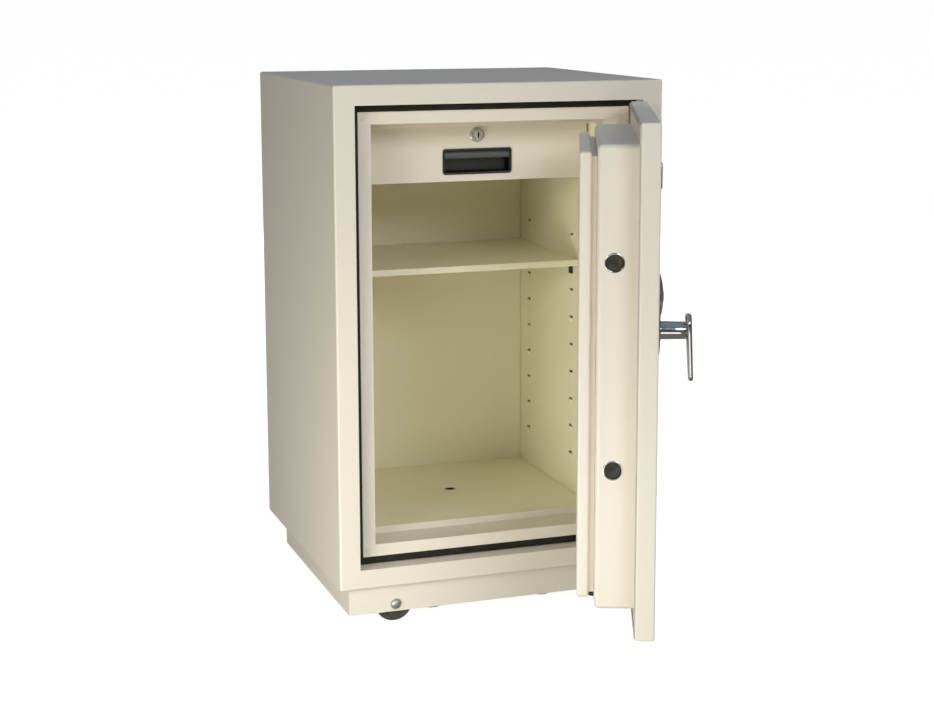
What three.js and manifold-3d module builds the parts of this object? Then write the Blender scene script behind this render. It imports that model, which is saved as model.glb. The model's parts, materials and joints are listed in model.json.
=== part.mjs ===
// Floor-standing fire document safe, door open. Millimetres, +Z up, front faces -Y.
// Pieces are placed from the body's front left bottom corner: x to the right, y to the back, z up.
import * as THREE from 'three';
import { RoundedBoxGeometry } from 'three/addons/geometries/RoundedBoxGeometry.js';
import { mergeVertices } from 'three/addons/utils/BufferGeometryUtils.js';
import ManifoldModule from 'manifold-3d';

const wasm = await ManifoldModule();
wasm.setup();

// Driving sizes
const WIDTH = 570;
const DEPTH = 520;
const HEIGHT = 830;
const SHEET = 2;
const GAP = 0.3;
const RUNNING = 0.08;

// Plinth and running gear
const PLINTH_HEIGHT = 50;
const PLINTH_INSET = 20;
const PLINTH_REAR_SETBACK = 57;
const PLINTH_WALL = 3;
const FLOOR_DROP = 20;
const ROLLER_RADIUS = 32.5;
const ROLLER_WIDTH = 22;
const ROLLER_SIDE = 101;
const ROLLER_BACK = 20;
const AXLE_RADIUS = 4;
const FOOT_RADIUS = 22;
const FOOT_SIDE = 184;
const FOOT_BACK = 92;

// Door opening, from the body's edges
const JAMB_SIDE = 35;
const JAMB_END = 33;
const REBATE = 31;
const BREAK_SIDE = 48;
const BREAK_END = 45;
const STEP_SIDE = 70;
const STEP_END = 65.5;
const STEP_BACK = 92;
const INNER_SIDE = 80.5;
const INNER_END = 76.5;
const INNER_BACK = 461.5;

// Door
const DOOR_OPEN_DEG = 67.75;
const PIVOT_X = 547;
const PIVOT_Y = -7;
const DOOR_CLEARANCE = 2;
const SLAB_THICKNESS = 29;
const PLUG_SIDE = 78.5;
const PLUG_END = 69;
const PLUG_BACK = 89;
const COVER_SIDE = 97.5;
const COVER_END = 81;
const COVER_BACK = 115;
const COVER_NECK = 97;
const NECK_INSET = 7;
const KNUCKLE_RADIUS = 6.5;
const PIN_RADIUS = 3;
const HINGE_HEIGHTS = [150, 680];
const HINGE_LENGTH = 90;

// Bolt work and lock
const BOLT_RADIUS = 12.5;
const BOLT_Y = 63;
const BOLT_HEIGHTS = [282, 590];
const BOLT_TIP = 78.7;
const BOLT_THROW = 20;
const SPINDLE_X = 135;
const SPINDLE_Z = 482;
const SHAFT_RADIUS = 6;
const PIN_REACH = 34;
const CAM_PIN_RADIUS = 4;
const KEY_Z = 533;
const KEY_RADIUS = 8;

// Shelf, slots and drawer
const SLOT_COLUMNS = [202.5, 415];
const SLOT_FIRST = 146.5;
const SLOT_PITCH = 50;
const SLOT_COUNT = 9;
const SHELF_TOP = 507;
const SHELF_DEPTH = 11;
const SHELF_FRONT = 160;
const DRAWER_FRONT = 129;
const DRAWER_LOW = 657.5;
const DRAWER_HIGH = 752;
const DRAWER_SIDE = 84;
const CENTRE = WIDTH / 2;
const DRAWER_LOCK_Z = 736;
const LOCK_PROUD = 7;
const PULL_Z = 691;
const ANCHOR_Y = 284;
const ANCHOR_RADIUS = 10;

// Materials
const paint = (color, roughness = 0.45) => new THREE.MeshStandardMaterial({ color, roughness, metalness: 0 });
const metal = (color, roughness = 0.25) => new THREE.MeshStandardMaterial({ color, roughness, metalness: 1 });
const CREAM = paint(0xe2dccb);
const CREAM_INNER = paint(0xd9d2b0);
const BLACK_STRIP = paint(0x37322a, 0.8);
const BLACK_PLASTIC = paint(0x14181a, 0.35);
const BOARD = paint(0xb9b4a8, 0.95);
const SEAL = paint(0xcfcabb, 0.7);
const RUBBER = paint(0x2b2d2c, 0.7);
const CHROME = metal(0xb8bcc0, 0.12);
const STEEL = metal(0x9a9a96, 0.35);
const BOLT_STEEL = metal(0x4d4a42, 0.4);

// Solids
function toManifold(geometry) {
  const bare = new THREE.BufferGeometry();
  bare.setAttribute('position', geometry.getAttribute('position'));
  if (geometry.index) bare.setIndex(geometry.index);
  const merged = mergeVertices(bare, 1e-4);
  const mesh = new wasm.Mesh({
    numProp: 3,
    vertProperties: new Float32Array(merged.attributes.position.array),
    triVerts: new Uint32Array(merged.index.array),
  });
  return new wasm.Manifold(mesh);
}

function toGeometry(manifold) {
  const mesh = manifold.getMesh();
  const geometry = new THREE.BufferGeometry();
  geometry.setAttribute('position', new THREE.BufferAttribute(new Float32Array(mesh.vertProperties), 3));
  geometry.setIndex(new THREE.BufferAttribute(new Uint32Array(mesh.triVerts), 1));
  geometry.computeVertexNormals();
  return geometry;
}

function cut(base, ...tools) {
  return toGeometry(tools.reduce((left, tool) => left.subtract(toManifold(tool)), toManifold(base)));
}

function join(first, ...rest) {
  return toGeometry(rest.reduce((whole, next) => whole.add(toManifold(next)), toManifold(first)));
}

function block(x0, x1, y0, y1, z0, z1) {
  const geometry = new THREE.BoxGeometry(x1 - x0, y1 - y0, z1 - z0);
  return geometry.translate((x0 + x1) / 2, (y0 + y1) / 2, (z0 + z1) / 2);
}

function softBlock(x0, x1, y0, y1, z0, z1, radius) {
  const geometry = new RoundedBoxGeometry(x1 - x0, y1 - y0, z1 - z0, 2, radius);
  return geometry.translate((x0 + x1) / 2, (y0 + y1) / 2, (z0 + z1) / 2);
}

// A cylinder from one end to the other along x, y or z
function rod(axis, radius, from, to, a, b, segments = 28) {
  const geometry = new THREE.CylinderGeometry(radius, radius, to - from, segments);
  const middle = (from + to) / 2;
  if (axis === 'x') return geometry.rotateZ(Math.PI / 2).translate(middle, a, b);
  if (axis === 'y') return geometry.translate(a, middle, b);
  return geometry.rotateX(Math.PI / 2).translate(a, b, middle);
}

// A rectangle inset from the body's sides and ends, as a block
function inset(side, end, y0, y1) {
  return block(side, WIDTH - side, y0, y1, end, HEIGHT - end);
}

function frameRing(outerSide, outerEnd, innerSide, innerEnd, y0, y1) {
  return cut(inset(outerSide, outerEnd, y0, y1), inset(innerSide, innerEnd, y0 - 1, y1 + 1));
}

const safe = new THREE.Group();
const cabinet = new THREE.Group();
cabinet.position.set(-WIDTH / 2, -DEPTH / 2, PLINTH_HEIGHT);
safe.add(cabinet);

// The door turns about its hinge line, and its pieces are placed as if it were closed
const hinge = new THREE.Group();
hinge.position.set(PIVOT_X, PIVOT_Y, 0);
hinge.rotation.z = THREE.MathUtils.degToRad(DOOR_OPEN_DEG);
cabinet.add(hinge);
const door = new THREE.Group();
door.position.set(-PIVOT_X, -PIVOT_Y, 0);
hinge.add(door);

function add(parent, name, geometry, material) {
  const mesh = new THREE.Mesh(geometry, material);
  mesh.name = name;
  parent.add(mesh);
  return mesh;
}

function anchorHole(radius, z0, z1) {
  return rod('z', radius, z0, z1, CENTRE, ANCHOR_Y);
}

function addCasing() {
  const shell = softBlock(0, WIDTH, 0, DEPTH, 0, HEIGHT, 4);
  const cavity = inset(SHEET, SHEET, SHEET, DEPTH + 1);
  const opening = inset(JAMB_SIDE, JAMB_END, -1, SHEET + 1);
  const flange = frameRing(
    JAMB_SIDE - SHEET, JAMB_END - SHEET, JAMB_SIDE, JAMB_END, SHEET / 2, REBATE + 5,
  );
  const hollow = cut(shell, cavity, opening, anchorHole(ANCHOR_RADIUS, -1, 3));
  add(cabinet, 'casing', join(hollow, flange), CREAM);
  add(cabinet, 'rear_panel', inset(SHEET + GAP, SHEET + GAP, DEPTH - 6, DEPTH - 4), CREAM);
}

function addThermalBreak() {
  const ring = frameRing(JAMB_SIDE + GAP, JAMB_END + GAP, BREAK_SIDE, BREAK_END, REBATE, REBATE + 5);
  const stripLeft = WIDTH - BREAK_SIDE + 2;
  const stripRight = WIDTH - JAMB_SIDE - GAP;
  const bottom = BREAK_END;
  const top = HEIGHT - BREAK_END;
  const seat = block(stripLeft - GAP, stripRight + 1, REBATE - 1, REBATE + 2.8, bottom, top);
  add(cabinet, 'thermal_break', cut(ring, seat), BLACK_STRIP);
  const strip = block(stripLeft, stripRight, REBATE, REBATE + 2.5, bottom + GAP, top - GAP);
  add(cabinet, 'hinge_side_strip', strip, CREAM);
}

function addStepFrame() {
  const face = frameRing(BREAK_SIDE + GAP, BREAK_END + GAP, STEP_SIDE, STEP_END, REBATE, REBATE + SHEET);
  const back = STEP_BACK + SHEET;
  const wall = frameRing(STEP_SIDE - SHEET, STEP_END - SHEET, STEP_SIDE, STEP_END, REBATE, back);
  const ledge = frameRing(STEP_SIDE - SHEET, STEP_END - SHEET, INNER_SIDE, INNER_END, STEP_BACK, back);
  const pockets = BOLT_HEIGHTS.map((z) => rod('x', BOLT_RADIUS + 2, STEP_SIDE - 5, STEP_SIDE + 1, BOLT_Y, z));
  add(cabinet, 'step_frame', cut(join(face, wall, ledge), ...pockets), CREAM);
  BOLT_HEIGHTS.forEach((z, i) => {
    const cup = rod('x', BOLT_RADIUS + 5, 52, STEP_SIDE - SHEET - GAP, BOLT_Y, z);
    const bore = rod('x', BOLT_RADIUS + 2, 54, STEP_SIDE, BOLT_Y, z);
    add(cabinet, `strike_cup_${i ? 'upper' : 'lower'}`, cut(cup, bore), STEEL);
  });
  const screwSide = BREAK_SIDE + 9;
  const screwEnd = BREAK_END + 10;
  for (const [i, x] of [screwSide, WIDTH - screwSide].entries()) {
    for (const [k, z] of [screwEnd, HEIGHT - screwEnd].entries()) {
      const head = rod('y', 4, REBATE - 1.1, REBATE - 0.02, x, z, 24);
      add(cabinet, `step_screw_${i ? 'right' : 'left'}_${k ? 'top' : 'bottom'}`, head, STEEL);
    }
  }
}

// One slot through each side wall at every height, in both columns
function slotCutters() {
  const cutters = [];
  for (const y of SLOT_COLUMNS) {
    for (let n = 0; n < SLOT_COUNT; n += 1) {
      const z = SLOT_FIRST + n * SLOT_PITCH;
      cutters.push(block(INNER_SIDE - 3, INNER_SIDE + 1, y - 7, y + 7, z - 3, z + 3));
      const right = WIDTH - INNER_SIDE;
      cutters.push(block(right - 1, right + 3, y - 7, y + 7, z - 3, z + 3));
    }
  }
  return cutters;
}

// The walls and roof are one folded sheet, and the floor and back are plates set into it
function addLiner() {
  const front = STEP_BACK + SHEET + GAP;
  const rear = INNER_BACK + SHEET;
  const under = INNER_END - SHEET;
  const roof = HEIGHT - INNER_END;
  const left = INNER_SIDE;
  const right = WIDTH - INNER_SIDE;
  const outer = block(left - SHEET, right + SHEET, front, rear, under, roof + SHEET);
  const inner = block(left, right, front - 1, rear + 1, under - 1, roof);
  const lockSlot = block(CENTRE - 10, CENTRE + 19, 152, 164, roof - 1, roof + 3);
  add(cabinet, 'liner', cut(outer, inner, ...slotCutters(), lockSlot), CREAM_INNER);
  const floor = block(left + GAP, right - GAP, front, INNER_BACK - GAP, under, INNER_END);
  add(cabinet, 'liner_floor', cut(floor, anchorHole(ANCHOR_RADIUS, 70, 80)), CREAM_INNER);
  const back = block(left + GAP, right - GAP, INNER_BACK, rear, under, roof - GAP);
  add(cabinet, 'liner_back', back, CREAM_INNER);
}

// Insulation fills the wall from behind the step frame to the rear panel
function addInsulation() {
  const mass = inset(SHEET + 0.5, SHEET + 0.5, REBATE + 6, DEPTH - 6.5);
  const stepRoom = inset(STEP_SIDE - SHEET - GAP, STEP_END - SHEET - GAP, 0, STEP_BACK + SHEET + GAP);
  const linerRoom = inset(INNER_SIDE - 6, INNER_END - 8, STEP_BACK, INNER_BACK + SHEET + GAP);
  const cups = BOLT_HEIGHTS.map((z) => rod('x', BOLT_RADIUS + 5.5, 51.5, STEP_SIDE, BOLT_Y, z));
  const hole = anchorHole(ANCHOR_RADIUS, 0, 80);
  add(cabinet, 'insulation', cut(mass, stepRoom, linerRoom, hole, ...cups), BOARD);
}

const AXLE_Z = ROLLER_RADIUS - FLOOR_DROP - PLINTH_HEIGHT;
const PLINTH_FRONT = PLINTH_INSET;
const PLINTH_REAR = DEPTH - PLINTH_REAR_SETBACK;
const ROLLER_ROWS = [
  { row: 'front', y: PLINTH_FRONT + ROLLER_BACK, outward: -1, face: PLINTH_FRONT },
  { row: 'rear', y: PLINTH_REAR - ROLLER_BACK, outward: 1, face: PLINTH_REAR },
];
const ROLLER_COLUMNS = [
  { side: 'left', x: ROLLER_SIDE },
  { side: 'right', x: WIDTH - ROLLER_SIDE },
];

function addPlinth() {
  const outer = block(
    PLINTH_INSET, WIDTH - PLINTH_INSET, PLINTH_FRONT, PLINTH_REAR, -PLINTH_HEIGHT, -GAP,
  );
  const inner = block(
    PLINTH_INSET + PLINTH_WALL, WIDTH - PLINTH_INSET - PLINTH_WALL,
    PLINTH_FRONT + PLINTH_WALL, PLINTH_REAR - PLINTH_WALL, -PLINTH_HEIGHT - 1, 0,
  );
  const axleHoles = ROLLER_COLUMNS.map(({ x }) => (
    rod('y', AXLE_RADIUS + GAP, PLINTH_FRONT - 1, PLINTH_REAR + 1, x, AXLE_Z)
  ));
  add(cabinet, 'plinth', cut(outer, inner, ...axleHoles), CREAM);

  const pan = block(
    PLINTH_INSET + PLINTH_WALL + GAP, WIDTH - PLINTH_INSET - PLINTH_WALL - GAP,
    PLINTH_FRONT + PLINTH_WALL + GAP, PLINTH_REAR - PLINTH_WALL - GAP,
    -PLINTH_HEIGHT, -PLINTH_HEIGHT + PLINTH_WALL,
  );
  const windows = [];
  for (const { y } of ROLLER_ROWS) {
    for (const { x } of ROLLER_COLUMNS) {
      windows.push(block(x - 38, x + 38, y - 14, y + 14, -PLINTH_HEIGHT - 1, -PLINTH_HEIGHT + 4));
    }
  }
  const footHoles = [FOOT_SIDE, WIDTH - FOOT_SIDE].map((x) => (
    rod('z', 6.5, -PLINTH_HEIGHT - 1, -PLINTH_HEIGHT + 4, x, FOOT_BACK)
  ));
  const anchor = anchorHole(ANCHOR_RADIUS, -PLINTH_HEIGHT - 1, -PLINTH_HEIGHT + 4);
  add(cabinet, 'base_pan', cut(pan, ...windows, ...footHoles, anchor), CREAM);
}

// Tread profile turned about the axle
function rollerShape() {
  const half = ROLLER_WIDTH / 2;
  const soft = 2.5;
  const bore = AXLE_RADIUS + RUNNING;
  const profile = [
    [bore, -half],
    [ROLLER_RADIUS - soft, -half],
    [ROLLER_RADIUS, -half + soft],
    [ROLLER_RADIUS, half - soft],
    [ROLLER_RADIUS - soft, half],
    [bore, half],
    [bore, -half],
  ].map(([r, h]) => new THREE.Vector2(r, h));
  return new THREE.LatheGeometry(profile, 36);
}

// Shank and low dome in one turned profile, the head towards +y
function axleBoltShape(length) {
  const profile = [
    [0, -length],
    [AXLE_RADIUS, -length],
    [AXLE_RADIUS, 0.1],
    [9.5, 0.1],
    [8.6, 2.3],
    [5.6, 4.1],
    [0, 4.8],
  ].map(([r, h]) => new THREE.Vector2(r, h));
  return new THREE.LatheGeometry(profile, 24);
}

function addRunningGear() {
  for (const { row, y, outward, face } of ROLLER_ROWS) {
    const inner = y - outward * (ROLLER_WIDTH / 2 + 4);
    const [rail0, rail1] = [inner, inner - outward * 3].sort((a, b) => a - b);
    const rail = block(
      PLINTH_INSET + 8, WIDTH - PLINTH_INSET - 8, rail0, rail1, -PLINTH_HEIGHT + PLINTH_WALL + GAP, -2,
    );
    const holes = ROLLER_COLUMNS.map(({ x }) => rod('y', AXLE_RADIUS + GAP, rail0 - 1, rail1 + 1, x, AXLE_Z));
    add(cabinet, `axle_rail_${row}`, cut(rail, ...holes), STEEL);
    for (const { side, x } of ROLLER_COLUMNS) {
      const bolt = axleBoltShape(Math.abs(face - inner) + 6);
      if (outward < 0) bolt.rotateX(Math.PI);
      add(cabinet, `axle_bolt_${row}_${side}`, bolt.translate(x, face, AXLE_Z), STEEL);
      add(cabinet, `roller_${row}_${side}`, rollerShape().translate(x, y, AXLE_Z), RUBBER);
    }
  }
  for (const [i, x] of [FOOT_SIDE, WIDTH - FOOT_SIDE].entries()) {
    const floor = -PLINTH_HEIGHT - FLOOR_DROP;
    const pad = rod('z', FOOT_RADIUS, floor, floor + 8, x, FOOT_BACK);
    const screw = rod('z', 6, floor + 4, -PLINTH_HEIGHT + 18, x, FOOT_BACK, 32);
    add(cabinet, `levelling_foot_${i ? 'right' : 'left'}`, join(pad, screw), RUBBER);
  }
}

function addShelf() {
  const x0 = INNER_SIDE + 0.7;
  const x1 = WIDTH - INNER_SIDE - 0.7;
  const low = SHELF_TOP - SHELF_DEPTH;
  const slab = block(x0, x1, SHELF_FRONT, INNER_BACK - 3, low, SHELF_TOP);
  const under = block(x0 + 1.5, x1 - 1.5, SHELF_FRONT + 1.5, INNER_BACK - 4.5, low - 1, SHELF_TOP - 1.5);
  add(cabinet, 'shelf', cut(slab, under), CREAM_INNER);
  for (const [i, y] of SLOT_COLUMNS.entries()) {
    for (const side of ['left', 'right']) {
      const inward = side === 'left' ? 1 : -1;
      const wall = side === 'left' ? INNER_SIDE : WIDTH - INNER_SIDE;
      const span = (a, b) => [wall + inward * a, wall + inward * b].sort((p, q) => p - q);
      const plate = block(...span(GAP, 3), y - 6, y + 6, low - 19, low - GAP);
      const ledge = block(...span(GAP, 11), y - 6, y + 6, low - 2.8, low - GAP);
      const tongue = block(...span(-3.5, 1), y - 5, y + 5, low - 2.2, low - GAP - 0.1);
      add(cabinet, `shelf_clip_${i ? 'rear' : 'front'}_${side}`, join(plate, ledge, tongue), STEEL);
    }
  }
}

const RUNNER_Z = 688;

function addDrawerRails() {
  for (const side of ['left', 'right']) {
    const inward = side === 'left' ? 1 : -1;
    const wall = side === 'left' ? INNER_SIDE : WIDTH - INNER_SIDE;
    const span = (a, b) => [wall + inward * a, wall + inward * b].sort((p, q) => p - q);
    const channel = block(...span(GAP, 11), 145, 452, RUNNER_Z - 9, RUNNER_Z + 9);
    const groove = block(...span(1.8, 12), 144, 453, RUNNER_Z - 7.5, RUNNER_Z + 7.5);
    add(cabinet, `drawer_rail_${side}`, cut(channel, groove), STEEL);
  }
}

// A shape drawn in the x-z plane, as a solid from y0 to y1
function drawn(shape, x, z, y0, y1, curveSegments = 10) {
  const geometry = new THREE.ExtrudeGeometry(shape, { depth: y1 - y0, bevelEnabled: false, curveSegments });
  return geometry.rotateX(Math.PI / 2).translate(x, y1, z);
}

// Two circles, one above the other, joined by their common tangents
function lobes(upperZ, upperRadius, lowerZ, lowerRadius) {
  const lean = Math.asin((lowerRadius - upperRadius) / (upperZ - lowerZ));
  const shape = new THREE.Shape();
  shape.absarc(0, upperZ, upperRadius, lean, Math.PI - lean);
  shape.absarc(0, lowerZ, lowerRadius, Math.PI - lean, 2 * Math.PI + lean);
  return shape;
}

// A rectangle with rounded corners
function plaque(x, z, width, height, radius, y0, y1) {
  const shape = new THREE.Shape();
  const w = width / 2 - radius;
  const h = height / 2 - radius;
  shape.absarc(w, h, radius, 0, Math.PI / 2);
  shape.absarc(-w, h, radius, Math.PI / 2, Math.PI);
  shape.absarc(-w, -h, radius, Math.PI, 1.5 * Math.PI);
  shape.absarc(w, -h, radius, 1.5 * Math.PI, 2 * Math.PI);
  return drawn(shape, x, z, y0, y1, 4);
}

function addDrawer() {
  const back = DRAWER_FRONT + 13;
  const panel = block(DRAWER_SIDE, WIDTH - DRAWER_SIDE, DRAWER_FRONT, back, DRAWER_LOW, DRAWER_HIGH);
  const hollow = block(
    DRAWER_SIDE + 1.5, WIDTH - DRAWER_SIDE - 1.5, DRAWER_FRONT + 1.5, back + 1,
    DRAWER_LOW + 1.5, DRAWER_HIGH - 1.5,
  );
  const pullHole = plaque(CENTRE, PULL_Z, 117, 37, 3, DRAWER_FRONT - 1, DRAWER_FRONT + 3);
  const lockHole = rod('y', 11.3, DRAWER_FRONT - 1, DRAWER_FRONT + 3, CENTRE, DRAWER_LOCK_Z);
  add(cabinet, 'drawer_front', cut(panel, hollow, pullHole, lockHole), CREAM);

  const trayLeft = 95;
  const trayRight = WIDTH - 95;
  const low = DRAWER_LOW + 4;
  const high = 722;
  const tray = cut(
    block(trayLeft, trayRight, back + GAP, 440, low, high),
    block(trayLeft + 1.5, trayRight - 1.5, back + GAP + 1.5, 438.5, low + 1.5, high + 1),
    block(CENTRE - 64, CENTRE + 64, back - 1, back + 3, PULL_Z - 24, PULL_Z + 24),
  );
  const runnerLeft = block(INNER_SIDE + 4, trayLeft + 1, 147, 436, RUNNER_Z - 2, RUNNER_Z + 2);
  const runnerRight = block(trayRight - 1, WIDTH - INNER_SIDE - 4, 147, 436, RUNNER_Z - 2, RUNNER_Z + 2);
  add(cabinet, 'drawer_tray', join(tray, runnerLeft, runnerRight), CREAM_INNER);

  const rim = plaque(CENTRE, PULL_Z, 124, 44, 5, DRAWER_FRONT - 2, DRAWER_FRONT - 0.1);
  const cup = plaque(CENTRE, PULL_Z, 116, 36, 2.5, DRAWER_FRONT - 1, DRAWER_FRONT + 19);
  const well = plaque(CENTRE, PULL_Z, 112, 32, 2, DRAWER_FRONT - 3, DRAWER_FRONT + 17);
  const lipTube = cut(
    rod('x', 12, CENTRE - 57, CENTRE + 57, DRAWER_FRONT + 9.5, PULL_Z + 5.5),
    rod('x', 10.2, CENTRE - 58, CENTRE + 58, DRAWER_FRONT + 9.5, PULL_Z + 5.5),
    block(0, WIDTH, DRAWER_FRONT + 9, DRAWER_FRONT + 40, PULL_Z - 30, PULL_Z + 40),
    block(0, WIDTH, DRAWER_FRONT - 20, DRAWER_FRONT + 40, PULL_Z - 30, PULL_Z + 5),
  );
  add(cabinet, 'drawer_pull', join(cut(join(rim, cup), well), lipTube), BLACK_PLASTIC);

  const bezelFace = DRAWER_FRONT - LOCK_PROUD;
  const bezel = new THREE.CylinderGeometry(12.5, 10.6, LOCK_PROUD - 0.1, 32);
  bezel.translate(CENTRE, (bezelFace + DRAWER_FRONT - 0.1) / 2, DRAWER_LOCK_Z);
  const barrel = rod('y', 11, DRAWER_FRONT - 1, DRAWER_FRONT + 25, CENTRE, DRAWER_LOCK_Z);
  const bore = rod('y', 9 + RUNNING, bezelFace - 1, DRAWER_FRONT + 26, CENTRE, DRAWER_LOCK_Z);
  add(cabinet, 'drawer_lock_ring', cut(join(bezel, barrel), bore), CHROME);

  const plug = rod('y', 9, bezelFace - 0.5, DRAWER_FRONT + 27, CENTRE, DRAWER_LOCK_Z);
  const keySlot = block(
    CENTRE - 0.8, CENTRE + 0.8, bezelFace - 1, bezelFace + 5, DRAWER_LOCK_Z - 4, DRAWER_LOCK_Z + 4,
  );
  const cam = block(
    CENTRE - 6, CENTRE + 23, DRAWER_FRONT + 26, DRAWER_FRONT + 28.5, DRAWER_LOCK_Z - 6, DRAWER_LOCK_Z + 6,
  );
  add(cabinet, 'drawer_cylinder', join(cut(plug, keySlot), cam), CHROME);
}

function addDoorPanels() {
  const side = JAMB_SIDE + DOOR_CLEARANCE;
  const end = JAMB_END + DOOR_CLEARANCE;
  const slab = softBlock(side, WIDTH - side, 0, SLAB_THICKNESS, end, HEIGHT - end, 3);
  const cavity = inset(side + SHEET, end + SHEET, SHEET, SLAB_THICKNESS - SHEET);
  const back = inset(PLUG_SIDE + 5, PLUG_END + 5, SLAB_THICKNESS - SHEET - 1, SLAB_THICKNESS + 1);
  const spindleHole = rod('y', SHAFT_RADIUS + RUNNING, -1, 5, SPINDLE_X, SPINDLE_Z);
  const keyHole = rod('y', KEY_RADIUS + RUNNING, -1, 5, SPINDLE_X, KEY_Z);
  add(door, 'door_skin', cut(slab, cavity, back, spindleHole, keyHole), CREAM);

  const start = SLAB_THICKNESS + 0.1;
  const pan = softBlock(PLUG_SIDE, WIDTH - PLUG_SIDE + 1.5, 0, PLUG_BACK, PLUG_END, HEIGHT - PLUG_END, 8);
  const panRoom = softBlock(
    PLUG_SIDE + SHEET, WIDTH - PLUG_SIDE + 1.5 - SHEET, 0, PLUG_BACK - SHEET,
    PLUG_END + SHEET, HEIGHT - PLUG_END - SHEET, 6,
  );
  const front = block(0, WIDTH, -5, start, 0, HEIGHT);
  const bushHoles = BOLT_HEIGHTS.map((z) => rod('x', 13.8, PLUG_SIDE - 1, PLUG_SIDE + 10, BOLT_Y, z));
  add(door, 'door_pan', cut(pan, panRoom, front, ...bushHoles), CREAM);

  const coverX0 = COVER_SIDE;
  const coverX1 = WIDTH - COVER_SIDE + 1.5;
  const plate = softBlock(coverX0, coverX1, COVER_NECK, COVER_BACK, COVER_END, HEIGHT - COVER_END, 5);
  const neck = block(
    coverX0 + NECK_INSET, coverX1 - NECK_INSET, PLUG_BACK + 0.1, COVER_NECK + 5, COVER_END + NECK_INSET,
    HEIGHT - COVER_END - NECK_INSET,
  );
  const room = block(
    coverX0 + NECK_INSET + SHEET, coverX1 - NECK_INSET - SHEET, PLUG_BACK, COVER_BACK - SHEET,
    COVER_END + NECK_INSET + SHEET, HEIGHT - COVER_END - NECK_INSET - SHEET,
  );
  add(door, 'door_inner_cover', cut(join(plate, neck), room), CREAM);

  const board = inset(side + SHEET + GAP, end + SHEET + GAP, SHEET + GAP, SLAB_THICKNESS - SHEET - GAP);
  const core = block(
    200, WIDTH - PLUG_SIDE - 6, SLAB_THICKNESS - 5, PLUG_BACK - SHEET - 1,
    PLUG_END + 6, HEIGHT - PLUG_END - 6,
  );
  const spindleRoom = rod('y', 16, 0, 60, SPINDLE_X, SPINDLE_Z);
  const keyRoom = rod('y', 12, 0, 60, SPINDLE_X, KEY_Z);
  add(door, 'door_insulation', cut(join(board, core), spindleRoom, keyRoom), BOARD);

  const seal = frameRing(
    side + 2.5, end + 2.5, BREAK_SIDE - 2, BREAK_END - 1, SLAB_THICKNESS + 0.1, REBATE - 0.2,
  );
  add(door, 'door_seal', seal, SEAL);
  add(door, 'badge', plaque(115, 714, 44, 38, 4, -5, -0.1), CHROME);
}

function addHinges() {
  HINGE_HEIGHTS.forEach((z, i) => {
    const name = i ? 'upper' : 'lower';
    const half = HINGE_LENGTH / 2;
    const bore = rod('z', PIN_RADIUS + RUNNING, z - half - 1, z + half + 1, PIVOT_X, PIVOT_Y);
    const barrel = (z0, z1) => rod('z', KNUCKLE_RADIUS, z0, z1, PIVOT_X, PIVOT_Y);
    const frameLeaf = block(PIVOT_X, WIDTH - 5, -3.2, -0.1, z - half, z - GAP);
    const frameKnuckle = cut(join(barrel(z - half, z - GAP), frameLeaf), bore);
    add(cabinet, `hinge_${name}_frame_knuckle`, frameKnuckle, STEEL);
    const doorLeaf = block(PIVOT_X - 47, PIVOT_X, -3.2, -0.1, z + GAP, z + half);
    const doorKnuckle = cut(join(barrel(z + GAP, z + half), doorLeaf), bore);
    add(door, `hinge_${name}_door_knuckle`, doorKnuckle, STEEL);
    const shaft = rod('z', PIN_RADIUS, z - half, z + half + 1, PIVOT_X, PIVOT_Y, 32);
    const head = rod('z', 5, z + half + GAP, z + half + 3.5, PIVOT_X, PIVOT_Y, 32);
    add(cabinet, `hinge_${name}_pin`, join(shaft, head), STEEL);
  });
}

function addBoltWork() {
  const barX = SPINDLE_X + PIN_REACH;
  const bolts = BOLT_HEIGHTS.map((z) => rod('x', BOLT_RADIUS, BOLT_TIP, barX, BOLT_Y, z));
  const bar = block(barX - 6, barX + 6, BOLT_Y - 6, BOLT_Y + 6, BOLT_HEIGHTS[0] - 18, BOLT_HEIGHTS[1] + 18);
  const pin = rod('y', CAM_PIN_RADIUS, 44, BOLT_Y, barX, SPINDLE_Z, 32);
  add(door, 'bolt_work', join(bar, ...bolts, pin), BOLT_STEEL);
  BOLT_HEIGHTS.forEach((z, i) => {
    const flange = rod('x', 14.8, PLUG_SIDE - 0.7, PLUG_SIDE - 0.1, BOLT_Y, z);
    const sleeve = rod('x', 13.6, PLUG_SIDE - 0.5, PLUG_SIDE + 20, BOLT_Y, z);
    const bore = rod('x', BOLT_RADIUS + RUNNING, PLUG_SIDE - 5, PLUG_SIDE + 30, BOLT_Y, z);
    add(door, `bolt_bush_${i ? 'upper' : 'lower'}`, cut(join(flange, sleeve), bore), CHROME);
  });
}

// The scroll slot brings the drive pin in by the bolt throw over a quarter turn, in equal steps
function scrollCutters(y0, y1) {
  const turn = Math.PI / 2;
  const margin = 0.06;
  const steps = 14;
  const half = CAM_PIN_RADIUS + 0.7;
  const centre = (angle) => {
    const reach = PIN_REACH - (BOLT_THROW * angle) / turn;
    return new THREE.Vector2(reach * Math.cos(angle), -reach * Math.sin(angle));
  };
  const edge = (angle, side) => {
    const along = centre(angle + 0.001).sub(centre(angle - 0.001)).normalize();
    return centre(angle).add(new THREE.Vector2(-along.y, along.x).multiplyScalar(side * half));
  };
  const angles = Array.from({ length: steps + 1 }, (_, n) => -margin + ((turn + 2 * margin) * n) / steps);
  const outer = angles.map((angle) => edge(angle, 1));
  const inner = angles.map((angle) => edge(angle, -1)).reverse();
  const ends = [angles[0], angles[steps]].map(centre);
  return [
    drawn(new THREE.Shape([...outer, ...inner]), SPINDLE_X, SPINDLE_Z, y0, y1),
    ...ends.map((end) => rod('y', half, y0, y1, SPINDLE_X + end.x, SPINDLE_Z + end.y, 24)),
  ];
}

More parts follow.
